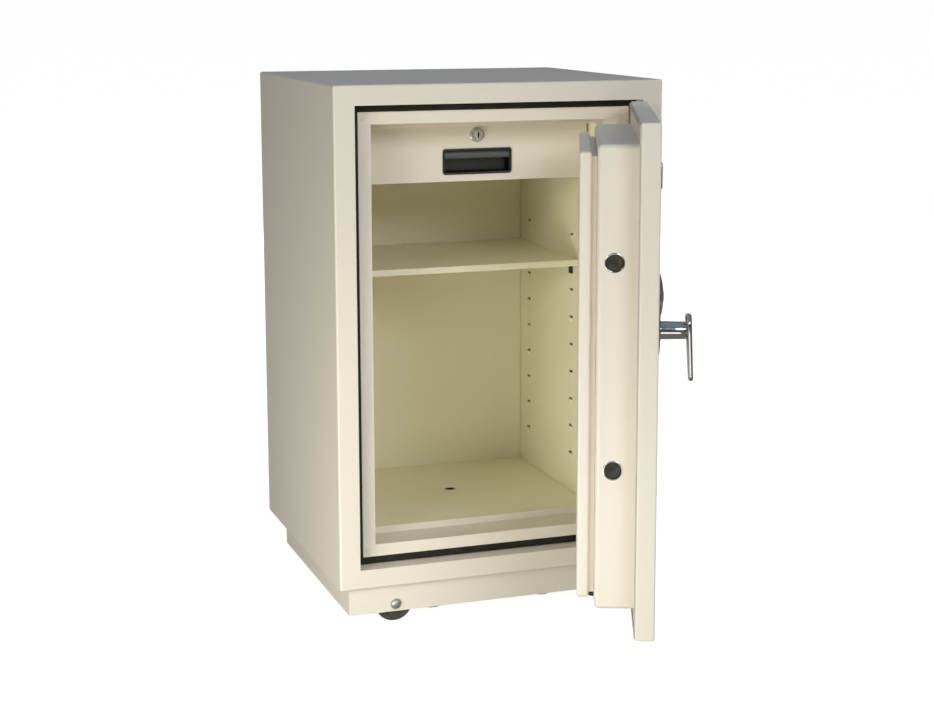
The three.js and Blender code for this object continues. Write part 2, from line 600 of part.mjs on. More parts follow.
// The lever's side profile, drawn in y-z, limited by a teardrop seen from the front
function leverShape() {
  const top = SPINDLE_Z + 24.5;
  const tip = SPINDLE_Z - 76;
  const profile = new THREE.Shape();
  profile.moveTo(-50, tip);
  profile.lineTo(-42, top);
  profile.quadraticCurveTo(-46, top + 2, -50, top - 1);
  profile.lineTo(-56, tip + 3);
  profile.quadraticCurveTo(-54, tip - 3, -50, tip);
  const bar = new THREE.ExtrudeGeometry(profile, { depth: 40, bevelEnabled: false, curveSegments: 5 });
  // (x, y, z) of the drawing becomes (z, x, y) of the door
  bar.applyMatrix4(new THREE.Matrix4().set(0, 0, 1, SPINDLE_X - 20, 1, 0, 0, 0, 0, 1, 0, 0, 0, 0, 0, 1));
  const front = drawn(lobes(SPINDLE_Z + 9, 16.5, tip + 8.5, 9), SPINDLE_X, 0, -70, -30);
  return toGeometry(toManifold(bar).intersect(toManifold(front)));
}

function addHandle() {
  const lever = leverShape();
  add(door, 'lever', lever, CHROME);
  const boss = rod('y', 13.5, -46, -7.5, SPINDLE_X, SPINDLE_Z, 32);
  const shaft = rod('y', SHAFT_RADIUS, -10, 50.5, SPINDLE_X, SPINDLE_Z);
  const disc = cut(rod('y', 42, 45.5, 50.5, SPINDLE_X, SPINDLE_Z, 40), ...scrollCutters(44, 52));
  const seat = lever.clone().translate(0, 0.3, 0);
  add(door, 'spindle', cut(join(boss, shaft, disc), seat), CHROME);
}

// A two-lobed plate with a low dome around the key cylinder
function addEscutcheon() {
  const plate = drawn(lobes(KEY_Z, 36, SPINDLE_Z, 39), SPINDLE_X, 0, -5, -GAP, 16);
  const profile = [[0, -1], [34, -1], [34, 0.8], [28, 3.4], [18, 4.7], [0, 5]];
  const dome = new THREE.LatheGeometry(profile.map(([r, h]) => new THREE.Vector2(r, h)), 36);
  dome.rotateX(Math.PI).translate(SPINDLE_X, -4.8, KEY_Z);
  const shaftHole = rod('y', SHAFT_RADIUS + 1, -20, 5, SPINDLE_X, SPINDLE_Z);
  const keyHole = rod('y', KEY_RADIUS + RUNNING, -20, 5, SPINDLE_X, KEY_Z);
  add(door, 'escutcheon', cut(join(plate, dome), shaftHole, keyHole), CHROME);
  const cylinder = rod('y', KEY_RADIUS, -10.5, 30, SPINDLE_X, KEY_Z);
  const slot = block(SPINDLE_X - 0.8, SPINDLE_X + 0.8, -12, -5, KEY_Z - 5, KEY_Z + 5);
  add(door, 'key_cylinder', cut(cylinder, slot), STEEL);
}

addCasing();
addThermalBreak();
addStepFrame();
addLiner();
addInsulation();
addPlinth();
addRunningGear();
addShelf();
addDrawerRails();
addDrawer();
addDoorPanels();
addHinges();
addBoltWork();
addHandle();
addEscutcheon();

export default safe;
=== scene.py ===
"""Looks of the fire document safe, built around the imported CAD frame. Metres, +Z up, front faces -Y."""

import json
import math

import bmesh
import bpy
from mathutils import Matrix, Vector


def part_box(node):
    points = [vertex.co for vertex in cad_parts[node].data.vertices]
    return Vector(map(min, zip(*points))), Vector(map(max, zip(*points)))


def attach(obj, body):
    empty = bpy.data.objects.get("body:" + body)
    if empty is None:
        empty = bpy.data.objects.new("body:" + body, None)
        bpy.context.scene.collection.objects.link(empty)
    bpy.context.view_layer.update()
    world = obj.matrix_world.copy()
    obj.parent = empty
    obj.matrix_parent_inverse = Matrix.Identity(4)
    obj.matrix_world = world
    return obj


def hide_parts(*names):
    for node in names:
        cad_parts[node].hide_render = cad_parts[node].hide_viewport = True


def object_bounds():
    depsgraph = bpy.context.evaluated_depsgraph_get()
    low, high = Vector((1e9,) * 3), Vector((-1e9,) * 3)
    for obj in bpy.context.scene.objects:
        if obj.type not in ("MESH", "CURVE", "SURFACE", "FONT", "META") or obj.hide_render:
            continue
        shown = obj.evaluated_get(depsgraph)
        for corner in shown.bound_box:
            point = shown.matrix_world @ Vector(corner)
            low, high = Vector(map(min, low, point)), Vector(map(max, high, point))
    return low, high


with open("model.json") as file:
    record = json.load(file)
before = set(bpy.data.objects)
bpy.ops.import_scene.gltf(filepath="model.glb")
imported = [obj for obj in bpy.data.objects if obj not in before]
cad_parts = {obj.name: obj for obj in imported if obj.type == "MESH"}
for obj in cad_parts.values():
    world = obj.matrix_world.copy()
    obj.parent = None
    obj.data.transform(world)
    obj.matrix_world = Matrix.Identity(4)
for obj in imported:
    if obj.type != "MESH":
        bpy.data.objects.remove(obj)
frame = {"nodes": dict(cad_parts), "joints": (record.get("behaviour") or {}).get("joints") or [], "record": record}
CAD_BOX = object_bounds()
NODES = frame["nodes"]
JOINTS = {joint["name"]: joint for joint in frame["joints"]}
MM = 0.001

# The door's pieces are made as if it were closed, then turned open about its hinge
HINGE = JOINTS["door_hinge"]
PIVOT = Vector(HINGE["pos_m"])
OPEN_ANGLE = math.radians(-HINGE["range_deg"][0])
DOOR_PLACE = (
    Matrix.Translation(PIVOT) @ Matrix.Rotation(OPEN_ANGLE, 4, "Z") @ Matrix.Translation(-PIVOT)
)
DOOR_CLOSED = DOOR_PLACE.inverted()

SIDES = ("left", "right")
ROWS = ("front", "rear")
LEVELS = ("lower", "upper")


def closed_box(name):
    """Lowest and highest corner of a door node with the door closed."""
    points = [DOOR_CLOSED @ vertex.co for vertex in NODES[name].data.vertices]
    low = Vector([min(p[i] for p in points) for i in range(3)])
    high = Vector([max(p[i] for p in points) for i in range(3)])
    return low, high


def middle(corners):
    return (corners[0] + corners[1]) / 2


# ---------------------------------------------------------------- camera, lights and floor

CAMERA_PLACE = Vector((-1.0329, -3.0838, 1.0287))
CAMERA_YAW = math.radians(19.956)
CAMERA_PITCH = math.radians(-9.688)
CAMERA_ROLL = math.radians(-0.005)
LENS = 71.03
SHIFT_X = -0.0341
SHIFT_Y = -0.05


def make_camera():
    forward = Vector((
        math.sin(CAMERA_YAW) * math.cos(CAMERA_PITCH),
        math.cos(CAMERA_YAW) * math.cos(CAMERA_PITCH),
        math.sin(CAMERA_PITCH),
    ))
    flat_right = Vector((math.cos(CAMERA_YAW), -math.sin(CAMERA_YAW), 0))
    flat_up = flat_right.cross(forward)
    right = flat_right * math.cos(CAMERA_ROLL) + flat_up * math.sin(CAMERA_ROLL)
    up = right.cross(forward)
    turn = Matrix((right, up, -forward)).transposed()
    data = bpy.data.cameras.new("camera")
    data.lens = LENS
    data.shift_x = SHIFT_X
    data.shift_y = SHIFT_Y
    data.clip_end = 400
    camera = bpy.data.objects.new("camera", data)
    camera.matrix_world = Matrix.Translation(CAMERA_PLACE) @ turn.to_4x4()
    bpy.context.scene.collection.objects.link(camera)
    bpy.context.scene.camera = camera


def add_light(name, place, target, width, height, watts, colour, glossy=True):
    data = bpy.data.lights.new(name, "AREA")
    data.shape = "RECTANGLE"
    data.size = width
    data.size_y = height
    data.energy = watts
    data.color = colour
    light = bpy.data.objects.new(name, data)
    light.location = place
    light.rotation_euler = (Vector(target) - Vector(place)).to_track_quat("-Z", "Y").to_euler()
    light.visible_camera = False
    light.visible_glossy = glossy
    bpy.context.scene.collection.objects.link(light)


def node(tree, kind, inputs=None, **settings):
    """A shader node with its inputs set: a socket is linked, anything else is a value."""
    made = tree.nodes.new("ShaderNode" + kind)
    for key, value in settings.items():
        setattr(made, key, value)
    for key, value in (inputs or {}).items():
        if isinstance(value, bpy.types.NodeSocket):
            tree.links.new(value, made.inputs[key])
        else:
            made.inputs[key].default_value = value
    return made


def ramp(tree, factor, *stops):
    """A colour ramp with stops of (position, colour)."""
    made = node(tree, "ValToRGB", {0: factor})
    elements = made.color_ramp.elements
    while len(elements) < len(stops):
        elements.new(0.5)
    for element, (position, colour) in zip(elements, stops):
        element.position = position
        element.color = (*colour, 1)
    return made.outputs[0]


BODY_MIDDLE = (0, 0, 0.42)
BOUNCE_COLOUR = (1.0, 0.96, 0.88)
FILL_COLOUR = (1.0, 0.985, 0.95)
FILL_SIZE = (2.4, 1.6)


def make_studio():
    """A dim surround, a warm key from the left, a cool front light, floor bounce and two side fills."""
    scene = bpy.context.scene
    scene.view_settings.view_transform = "Standard"
    world = bpy.data.worlds.new("studio")
    scene.world = world
    world.use_nodes = True
    tree = world.node_tree
    tree.nodes.clear()
    direction = node(tree, "TexCoord").outputs["Generated"]
    height = node(tree, "SeparateXYZ", {0: direction}).outputs["Z"]
    share = node(tree, "MapRange", {0: height, 1: -1.0, 2: 1.0, 3: 0.0, 4: 1.0}).outputs[0]
    surround = ramp(
        tree, share,
        (0.0, (0.22, 0.21, 0.19)), (0.38, (0.20, 0.19, 0.17)), (0.46, (0.09, 0.09, 0.085)),
        (0.50, (0.07, 0.07, 0.07)), (0.60, (0.10, 0.11, 0.13)), (1.0, (0.27, 0.30, 0.37)),
    )
    background = node(tree, "Background", {"Color": surround, "Strength": 1.0})
    output = node(tree, "OutputWorld")
    tree.links.new(background.outputs[0], output.inputs[0])

    add_light("key", (-3.18, -2.86, 1.75), BODY_MIDDLE, 1.1, 1.0, 33, (1.0, 0.95, 0.78))
    add_light("front", (0.3, -5.5, 2.8), BODY_MIDDLE, 2.6, 1.6, 92, (0.95, 0.985, 1.0))
    add_light("bounce", (-1.0, -0.85, 0.0), (-0.28, -0.25, 0.12), 0.9, 0.5, 8.0, BOUNCE_COLOUR)
    add_light("front_bounce", (-0.3, -1.65, 0.0), (-0.05, -0.2, 0.12), 1.0, 0.4, 2.2, BOUNCE_COLOUR)
    add_light("right", (4.9, -0.45, 1.1), BODY_MIDDLE, *FILL_SIZE, 105, FILL_COLOUR, glossy=False)
    add_light("rear", (0.75, 4.9, 1.1), BODY_MIDDLE, *FILL_SIZE, 75, FILL_COLOUR, glossy=False)
    make_floor()


FLOOR_RADIUS = 24.0
COVE_RADIUS = 6.0
WALL_HEIGHT = 30.0
FLOOR_SEGMENTS = 96


def make_floor():
    """A pale, glowing floor that curves up into a wall. It neither lights nor shades the object."""
    level = CAD_BOX[0].z
    cove = []
    for degrees in range(0, 91, 10):
        angle = math.radians(degrees)
        cove.append((
            FLOOR_RADIUS + COVE_RADIUS * math.sin(angle),
            level + COVE_RADIUS * (1 - math.cos(angle)),
        ))
    profile = [(0, level), (3.0, level), (9.0, level)] + cove
    profile.append((cove[-1][0], level + WALL_HEIGHT))
    form = turned(bmesh.new(), profile, FLOOR_SEGMENTS)
    bmesh.ops.recalc_face_normals(form, faces=form.faces)
    mesh = bpy.data.meshes.new("floor")
    form.to_mesh(mesh)
    form.free()
    for polygon in mesh.polygons:
        polygon.use_smooth = True
    mesh.materials.append(floor_material())
    floor = bpy.data.objects.new("floor", mesh)
    bpy.context.scene.collection.objects.link(floor)
    floor.visible_diffuse = False
    floor.visible_glossy = False
    floor.visible_shadow = False


def srgb(red, green, blue):
    """Linear colour of an 8-bit display colour."""
    channels = [c / 255 for c in (red, green, blue)]
    return tuple(c / 12.92 if c <= 0.04045 else ((c + 0.055) / 1.055) ** 2.4 for c in channels)


# ---------------------------------------------------------------- materials

def shader(name):
    """A new material's tree, its surface shader and a point in the object's own space."""
    material = bpy.data.materials.new(name)
    material.use_nodes = True
    tree = material.node_tree
    tree.nodes.clear()
    surface = node(tree, "BsdfPrincipled")
    output = node(tree, "OutputMaterial")
    tree.links.new(surface.outputs[0], output.inputs[0])
    point = node(tree, "TexCoord").outputs["Object"]
    return material, tree, surface, point


def noise(tree, point, scale, detail=2.0, roughness=0.5, stretch=(1, 1, 1)):
    if stretch != (1, 1, 1):
        point = node(tree, "Mapping", {"Vector": point, "Scale": stretch}).outputs[0]
    made = node(tree, "TexNoise", {
        "Vector": point, "Scale": scale, "Detail": detail, "Roughness": roughness,
    })
    return made.outputs[0]


def spread(tree, value, low, high, out_low=0.0, out_high=1.0):
    """The value between low and high, as out_low to out_high."""
    made = node(tree, "MapRange", {0: value, 1: low, 2: high, 3: out_low, 4: out_high})
    return made.outputs[0]


def math_node(tree, operation, a, b):
    return node(tree, "Math", {0: a, 1: b}, operation=operation).outputs[0]


def mixed(tree, factor, a, b):
    """Two colours mixed by a factor; either may be a plain colour."""
    inputs = {0: factor}
    for key, value in ((6, a), (7, b)):
        inputs[key] = value if isinstance(value, bpy.types.NodeSocket) else (*value, 1)
    return node(tree, "Mix", inputs, data_type="RGBA").outputs[2]


def edge_mask(tree, radius):
    """1 on edges sharper than the radius, 0 on flat faces."""
    bevel = node(tree, "Bevel", {"Radius": radius}, samples=4).outputs[0]
    true_normal = node(tree, "NewGeometry").outputs["True Normal"]
    alike = node(tree, "VectorMath", {0: bevel, 1: true_normal}, operation="DOT_PRODUCT")
    return spread(tree, alike.outputs["Value"], 0.995, 0.84)


def bump(tree, surface, height, strength, distance):
    made = node(tree, "Bump", {"Height": height, "Strength": strength, "Distance": distance})
    tree.links.new(made.outputs[0], surface.inputs["Normal"])


def painted(name, colour, shade, roughness):
    """Sprayed enamel: faint drift in tone, orange peel, lighter edges that are part rubbed wear and part painted
    highlight, and a few chips.
    """
    material, tree, surface, point = shader(name)
    drift = spread(tree, noise(tree, point, 2.6, 3), 0.3, 0.7)
    cloud = spread(tree, noise(tree, point, 21, 4, 0.6), 0.35, 0.75)
    toned = mixed(tree, math_node(tree, "MULTIPLY", drift, 0.55), colour, shade)
    toned = mixed(tree, math_node(tree, "MULTIPLY", cloud, 0.16), toned, shade)
    edges = edge_mask(tree, 1.6 * MM)
    # lighter edges: part rubbed wear, part a painted highlight along every edge
    wear_and_highlight = math_node(tree, "MULTIPLY", edges, 0.35)
    lighter = tuple(min(1, c * 1.12) for c in colour)
    toned = mixed(tree, wear_and_highlight, toned, lighter)
    chipping = spread(tree, noise(tree, point, 34, 5, 0.7), 0.705, 0.73)
    chips = math_node(tree, "MULTIPLY", edges, chipping)
    toned = mixed(tree, chips, toned, srgb(84, 80, 70))
    tree.links.new(toned, surface.inputs["Base Color"])
    gloss = spread(tree, cloud, 0, 1, roughness - 0.05, roughness + 0.08)
    tree.links.new(gloss, surface.inputs["Roughness"])
    surface.inputs["Specular IOR Level"].default_value = 0.42
    peel = noise(tree, point, 260, 2)
    swell = noise(tree, point, 9, 2)
    height = math_node(tree, "ADD", peel, math_node(tree, "MULTIPLY", swell, 5))
    bump(tree, surface, height, 0.35, 0.12 * MM)
    return material


def polished(name, colour, roughness, smudge):
    """Plated metal with fine polishing lines and soft smudges."""
    material, tree, surface, point = shader(name)
    cloud = spread(tree, noise(tree, point, 55, 4, 0.6), 0.3, 0.75)
    dull = tuple(c * 0.78 for c in colour)
    tree.links.new(mixed(tree, math_node(tree, "MULTIPLY", cloud, 0.4), colour, dull),
                   surface.inputs["Base Color"])
    surface.inputs["Metallic"].default_value = 1.0
    lines = noise(tree, point, 900, 2, 0.6, (1, 1, 0.06))
    rough = math_node(tree, "ADD", spread(tree, cloud, 0, 1, roughness, roughness + smudge),
                      math_node(tree, "MULTIPLY", lines, smudge * 0.5))
    tree.links.new(rough, surface.inputs["Roughness"])
    bump(tree, surface, lines, 0.12, 0.03 * MM)
    return material


def mottled(name, colour, patch, roughness, metallic, scale):
    """Plain plated or blackened steel with patches, specks and worn bright edges."""
    material, tree, surface, point = shader(name)
    cloud = spread(tree, noise(tree, point, scale, 5, 0.65), 0.36, 0.66)
    specks = spread(tree, noise(tree, point, scale * 7, 3, 0.6), 0.58, 0.72)
    toned = mixed(tree, cloud, colour, patch)
    toned = mixed(tree, math_node(tree, "MULTIPLY", specks, 0.35), toned, tuple(c * 0.5 for c in colour))
    worn = math_node(tree, "MULTIPLY", edge_mask(tree, 0.7 * MM), 0.5)
    toned = mixed(tree, worn, toned, tuple(min(1, c * 1.9 + 0.06) for c in colour))
    tree.links.new(toned, surface.inputs["Base Color"])
    surface.inputs["Metallic"].default_value = metallic
    tree.links.new(spread(tree, cloud, 0, 1, roughness, roughness + 0.2), surface.inputs["Roughness"])
    bump(tree, surface, math_node(tree, "ADD", cloud, specks), 0.25, 0.08 * MM)
    return material


def dull(name, colour, patch, roughness, scale, grain, depth, specular=0.5, scuff=0.3):
    """Rubber, board, felt or moulded plastic: a grain with colour drift and paler edges."""
    material, tree, surface, point = shader(name)
    cloud = spread(tree, noise(tree, point, scale, 4, 0.6), 0.32, 0.7)
    fine = noise(tree, point, grain, 3, 0.65)
    toned = mixed(tree, cloud, colour, patch)
    toned = mixed(tree, spread(tree, fine, 0.5, 0.8, 0, 0.35), toned, tuple(c * 0.7 for c in colour))
    scuffed = math_node(tree, "MULTIPLY", edge_mask(tree, 1.0 * MM), scuff)
    toned = mixed(tree, scuffed, toned, tuple(min(1, c * 1.6 + 0.03) for c in patch))
    tree.links.new(toned, surface.inputs["Base Color"])
    tree.links.new(spread(tree, fine, 0.3, 0.7, roughness - 0.06, roughness + 0.1),
                   surface.inputs["Roughness"])
    surface.inputs["Specular IOR Level"].default_value = specular
    bump(tree, surface, fine, 0.4, depth)
    return material


def floor_material():
    material, tree, surface, point = shader("studio_floor")
    cloud = noise(tree, point, 1.4, 2)
    tree.links.new(mixed(tree, cloud, (0.30, 0.30, 0.29), (0.32, 0.32, 0.31)),
                   surface.inputs["Base Color"])
    surface.inputs["Roughness"].default_value = 0.9
    surface.inputs["Specular IOR Level"].default_value = 0.1
    surface.inputs["Emission Color"].default_value = (1.0, 0.995, 0.98, 1)
    surface.inputs["Emission Strength"].default_value = 0.93
    return material


PAINT = painted("cream_enamel", (0.845, 0.80, 0.705), (0.805, 0.757, 0.65), 0.38)
INNER_PAINT = painted("cream_enamel_inside", (0.94, 0.90, 0.70), (0.915, 0.87, 0.645), 0.44)
CHROME = polished("bright_chrome", (0.56, 0.57, 0.58), 0.06, 0.10)
STEEL = mottled("zinc_plated_steel", (0.62, 0.62, 0.58), (0.50, 0.50, 0.46), 0.28, 0.9, 60)
DARK_STEEL = mottled(
    "blackened_steel", (0.014, 0.0135, 0.010), (0.045, 0.042, 0.031), 0.42, 0.25, 160,
)
BLACK_STRIP = dull(
    "black_break_strip", (0.014, 0.015, 0.011), (0.024, 0.023, 0.016), 0.6, 30, 700, 0.1 * MM,
    specular=0.25,
)
BLACK_PLASTIC = dull(
    "black_moulded_plastic", (0.016, 0.021, 0.020), (0.024, 0.030, 0.028), 0.24, 40, 1100, 0.03 * MM,
)
# A lighter copy of the black plastic for the rolled lip: painted light where the lamp catches it.
LIT_LIP_BLACK = dull(
    "black_lip_painted_light", (0.05, 0.06, 0.056), (0.065, 0.075, 0.07), 0.34, 40, 1100, 0.03 * MM,
)
# Near-black painted shade for the inside of the finger cup's well and of the keyways.
SHADE_BLACK = dull(
    "black_painted_shade", (0.0035, 0.0045, 0.004), (0.006, 0.008, 0.007), 0.6, 40, 900, 0.05 * MM,
    specular=0.1, scuff=0.02,
)
RUBBER = dull("dark_tread", (0.045, 0.044, 0.038), (0.065, 0.064, 0.055), 0.62, 50, 900, 0.15 * MM)
BOARD = dull("cast_filling", (0.47, 0.44, 0.38), (0.40, 0.375, 0.32), 0.9, 26, 420, 0.5 * MM)
SEAL = dull("door_seal_felt", (0.56, 0.53, 0.45), (0.49, 0.46, 0.385), 0.8, 40, 1500, 0.2 * MM)

LOOKS = {
    "cream_paint": PAINT, "cream_inner_paint": INNER_PAINT, "black_strip": BLACK_STRIP,
    "black_plastic": BLACK_PLASTIC, "board": BOARD, "seal": SEAL, "rubber": RUBBER,
    "chrome": CHROME, "steel": STEEL, "bolt_steel": DARK_STEEL,
}


# ---------------------------------------------------------------- carried-over CAD nodes

SHEET_EDGE = 0.5 * MM
EDGES = {
    "casing": 1.6 * MM, "door_skin": 1.2 * MM, "plinth": 1.3 * MM, "door_pan": 0.8 * MM,
    "door_inner_cover": 0.8 * MM, "hinge_side_strip": 0.6 * MM, "shelf": 0.55 * MM,
}
for level in LEVELS:
    for part in ("frame", "door"):
        EDGES[f"hinge_{level}_{part}_knuckle"] = 0.35 * MM


def finish_nodes():
    """Each CAD node gets its slot's finish, except the shelf clips, which take dark blackened steel as painted
    shade. Modifiers weld it, merge flat faces and round its edges.
    """
    slots = {part["node"]: part["material_slot"] for part in frame["record"]["subparts"]}
    for name, piece in NODES.items():
        piece.data.materials.clear()
        # the shelf clips are made dark as painted shade, for the shadow beneath the shelf
        clip_in_painted_shade = name.startswith("shelf_clip")
        piece.data.materials.append(DARK_STEEL if clip_in_painted_shade else LOOKS[slots[name]])
        weld = piece.modifiers.new("weld", "WELD")
        weld.merge_threshold = 0.01 * MM
        flat = piece.modifiers.new("flat", "DECIMATE")
        flat.decimate_type = "DISSOLVE"
        flat.angle_limit = math.radians(0.6)
        edge = piece.modifiers.new("edge", "BEVEL")
        edge.width = EDGES.get(name, SHEET_EDGE)
        edge.segments = 2
        edge.limit_method = "ANGLE"
        edge.angle_limit = math.radians(38)
        edge.use_clamp_overlap = True
        edge.loop_slide = False
        soft = piece.modifiers.new("soft", "WEIGHTED_NORMAL")
        soft.keep_sharp = False
        soft.weight = 60


# ---------------------------------------------------------------- mesh helpers

def add_piece(name, body, slot, form, replaces=(), place=None, smooth=32, material=None, inset=None):
    """Makes a bmesh a piece that rides on a body. Faces of material index 1 take the inset material."""
    if place is not None:
        bmesh.ops.transform(form, matrix=place, verts=form.verts)
    bmesh.ops.remove_doubles(form, verts=form.verts, dist=1e-6)
    bmesh.ops.recalc_face_normals(form, faces=form.faces)
    mesh = bpy.data.meshes.new(name)
    form.to_mesh(mesh)
    form.free()
    for polygon in mesh.polygons:
        polygon.use_smooth = True
    mesh.set_sharp_from_angle(angle=math.radians(smooth))
    mesh.materials.append(material or LOOKS[slot])
    if inset is not None:
        mesh.materials.append(inset)
    piece = bpy.data.objects.new(name, mesh)
    bpy.context.scene.collection.objects.link(piece)
    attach(piece, body)
    if replaces:
        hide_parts(*replaces)
    return piece


def turned(form, profile, segments=64, along="z", at=(0, 0, 0)):
    """Adds a (radius, height) profile turned about an axis; a closed profile makes a ring."""
    turn = {
        "z": Matrix.Identity(4),
        "y": Matrix.Rotation(-math.pi / 2, 4, "X"),
        "-y": Matrix.Rotation(math.pi / 2, 4, "X"),
        "x": Matrix.Rotation(math.pi / 2, 4, "Y"),
        "-x": Matrix.Rotation(-math.pi / 2, 4, "Y"),
    }[along]
    place = Matrix.Translation(Vector(at)) @ turn
    rings = []
    for radius, height in profile:
        if radius < 1e-7:
            rings.append([form.verts.new(place @ Vector((0, 0, height)))])
            continue
        ring = []
        for n in range(segments):
            angle = 2 * math.pi * n / segments
            spot = Vector((radius * math.cos(angle), radius * math.sin(angle), height))
            ring.append(form.verts.new(place @ spot))
        rings.append(ring)
    for below, above in zip(rings, rings[1:]):
        for n in range(segments):
            following = (n + 1) % segments
            corners = [below[n % len(below)], below[following % len(below)],
                       above[following % len(above)], above[n % len(above)]]
            unique = list(dict.fromkeys(corners))
            if len(unique) > 2:
                form.faces.new(unique)
    return form


def skinned(form, loops, cap_first=True, cap_last=True):
    """Adds a skin over loops of points that all have the same count."""
    rows = [[form.verts.new(point) for point in loop] for loop in loops]
    count = len(rows[0])
    for below, above in zip(rows, rows[1:]):
        for n in range(count):
            following = (n + 1) % count
            form.faces.new((below[n], below[following], above[following], above[n]))
    if cap_first:
        form.faces.new(rows[0])
    if cap_last:
        form.faces.new(rows[-1])
    return form


def rounded_outline(width, height, radius, steps=6):
    """Points of a rounded rectangle about the origin."""
    points = []
    corners = ((1, 1, 0), (-1, 1, 90), (-1, -1, 180), (1, -1, 270))
    for side_x, side_y, start in corners:
        x = side_x * (width / 2 - radius)
        y = side_y * (height / 2 - radius)
        for n in range(steps + 1):
            angle = math.radians(start + 90 * n / steps)
            points.append((x + radius * math.cos(angle), y + radius * math.sin(angle)))
    return points


def lobed_outline(upper, upper_radius, lower, lower_radius, steps=40):
    """Points of two circles, one above the other, joined by their common tangents."""
    lean = math.asin((lower_radius - upper_radius) / (upper - lower))
    points = []
    for height, radius, start, sweep in (
        (upper, upper_radius, lean, math.pi - 2 * lean),
        (lower, lower_radius, math.pi - lean, math.pi + 2 * lean),
    ):
        for n in range(steps + 1):
            angle = start + sweep * n / steps
            points.append((radius * math.cos(angle), height + radius * math.sin(angle)))
    return points


def facing(points, at_x, y, at_z):
    """Outline points as positions in a plane that faces the front."""
    return [Vector((at_x + px, y, at_z + pz)) for px, pz in points]


def rounded_levels(width, height, levels, centre, face):
    """Rounded rectangles facing the front: (shrink in mm, distance out from the face, corner in mm)."""
    loops = []
    for shrink, out, corner in levels:
        outline = rounded_outline(width - 2 * shrink * MM, height - 2 * shrink * MM, corner * MM)
        loops.append(facing(outline, centre.x, face - out, centre.z))
    return loops


def soft_box(form, low, high, bevel, segments=3):
    """Adds a box with rounded edges between two corners. It goes last in a form: see add_bolts."""
    before = set(form.verts)
    size = Vector(high) - Vector(low)
    made = bmesh.ops.create_cube(form, size=1)
    bmesh.ops.scale(form, vec=size, verts=made["verts"])
    bmesh.ops.translate(form, vec=(Vector(low) + Vector(high)) / 2, verts=made["verts"])
    fresh = [v for v in form.verts if v not in before]
    edges = list(dict.fromkeys(edge for v in fresh for edge in v.link_edges))
    bmesh.ops.bevel(form, geom=edges, offset=bevel, segments=segments, affect="EDGES", profile=0.5)
    return form


def arc(radius, centre_r, centre_h, start, end, steps=5):
    """Profile points along an arc, angles in degrees from outwards to up."""
    return [
        (centre_r + radius * math.cos(math.radians(start + (end - start) * n / steps)),
         centre_h + radius * math.sin(math.radians(start + (end - start) * n / steps)))
        for n in range(steps + 1)
    ]


# ---------------------------------------------------------------- running gear

def add_rollers():
    """Solid treaded wheels: rounded shoulders, a shallow dish each side and a hub boss round the bore."""
    for row in ROWS:
        for side in SIDES:
            name = f"roller_{row}_{side}"
            low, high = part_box(name)
            radius = (high.z - low.z) / 2
            half = (high.y - low.y) / 2
            bore = 4.1 * MM
            soft = 3.0 * MM
            upper = [
                (bore, half - 0.6 * MM), (bore + 0.6 * MM, half), (11 * MM, half),
                (12 * MM, half - 0.5 * MM), (13 * MM, half - 2.2 * MM),
                (radius - 9.5 * MM, half - 2.2 * MM),
                (radius - 8 * MM, half - 0.6 * MM), (radius - 7 * MM, half),
            ] + arc(soft, radius - soft, half - soft, 90, 0)
            lower = [(r, -h) for r, h in reversed(upper)]
            profile = upper + lower + [upper[0]]
            form = turned(bmesh.new(), profile, 96, "y", middle((low, high)))
            add_piece(f"wheel_{row}_{side}", name, "rubber", form, [name])


WASHER_TOP = 1.05 * MM
HEAD_RADIUS = 7.6 * MM


def add_axle_bolts():
    """Domed bolt heads over a thin pressed washer."""
    for row in ROWS:
        along = "-y" if row == "front" else "y"
        for side in SIDES:
            name = f"axle_bolt_{row}_{side}"
            low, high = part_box(name)
            centre = middle((low, high))
            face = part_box("plinth")[0].y if row == "front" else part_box("plinth")[1].y
            tip = low.y if row == "front" else high.y
            rise = abs(tip - face)
            root = high.y if row == "front" else low.y
            shank = abs(root - face)
            profile = [
                (0, -shank), (3.2 * MM, -shank), (4 * MM, -shank + 0.8 * MM), (4 * MM, 0.1 * MM),
            ]
            profile += [
                (9.3 * MM, 0.1 * MM), (9.5 * MM, 0.35 * MM), (9.3 * MM, 0.9 * MM), (8.1 * MM, WASHER_TOP),
            ]
            for degrees in (0, 12, 26, 40, 54, 68, 80):
                angle = math.radians(degrees)
                profile.append((
                    HEAD_RADIUS * math.cos(angle),
                    WASHER_TOP + (rise - WASHER_TOP) * math.sin(angle),
                ))
            profile.append((0, rise))
            at = (centre.x, face, centre.z)
            form = turned(bmesh.new(), profile, 64, along, at)
            add_piece(f"axle_bolt_head_{row}_{side}", "cabinet", "steel", form, [name], smooth=40)


def add_feet():
    """Levelling feet: a rubber-edged pad, a hexagonal boss and a threaded stud."""
    for side in SIDES:
        name = f"levelling_foot_{side}"
        low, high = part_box(name)
        centre = middle((low, high))
        radius = (high.x - low.x) / 2
        pad = [
            (0, 0), (radius - 1.5 * MM, 0), (radius, 1.5 * MM), (radius, 4.5 * MM),
            (radius - 1.2 * MM, 6 * MM), (13 * MM, 7.2 * MM), (12 * MM, 8 * MM), (5.6 * MM, 8 * MM),
        ]
        top = high.z - low.z
        thread, level, pitch = [], 14.5 * MM, 1.75 * MM
        while level < top - pitch:
            thread += [(5.2 * MM, level), (6 * MM, level + pitch / 2)]
            level += pitch
        pad += [(5.2 * MM, 14.4 * MM)] + thread + [(5.2 * MM, top - 0.6 * MM), (4.4 * MM, top), (0, top)]
        at = (centre.x, centre.y, low.z)
        form = turned(bmesh.new(), pad, 48, "z", at)
        hexagon = [(0, 7.9 * MM), (10 * MM, 7.9 * MM), (10.4 * MM, 8.4 * MM), (10.4 * MM, 13.6 * MM),
                   (9.9 * MM, 14.2 * MM), (0, 14.2 * MM)]
        turned(form, hexagon, 6, "z", at)
        add_piece(f"foot_{side}", "cabinet", "rubber", form, [name], smooth=30)


# ---------------------------------------------------------------- door furniture

PLATE_THICK = 4.6 * MM


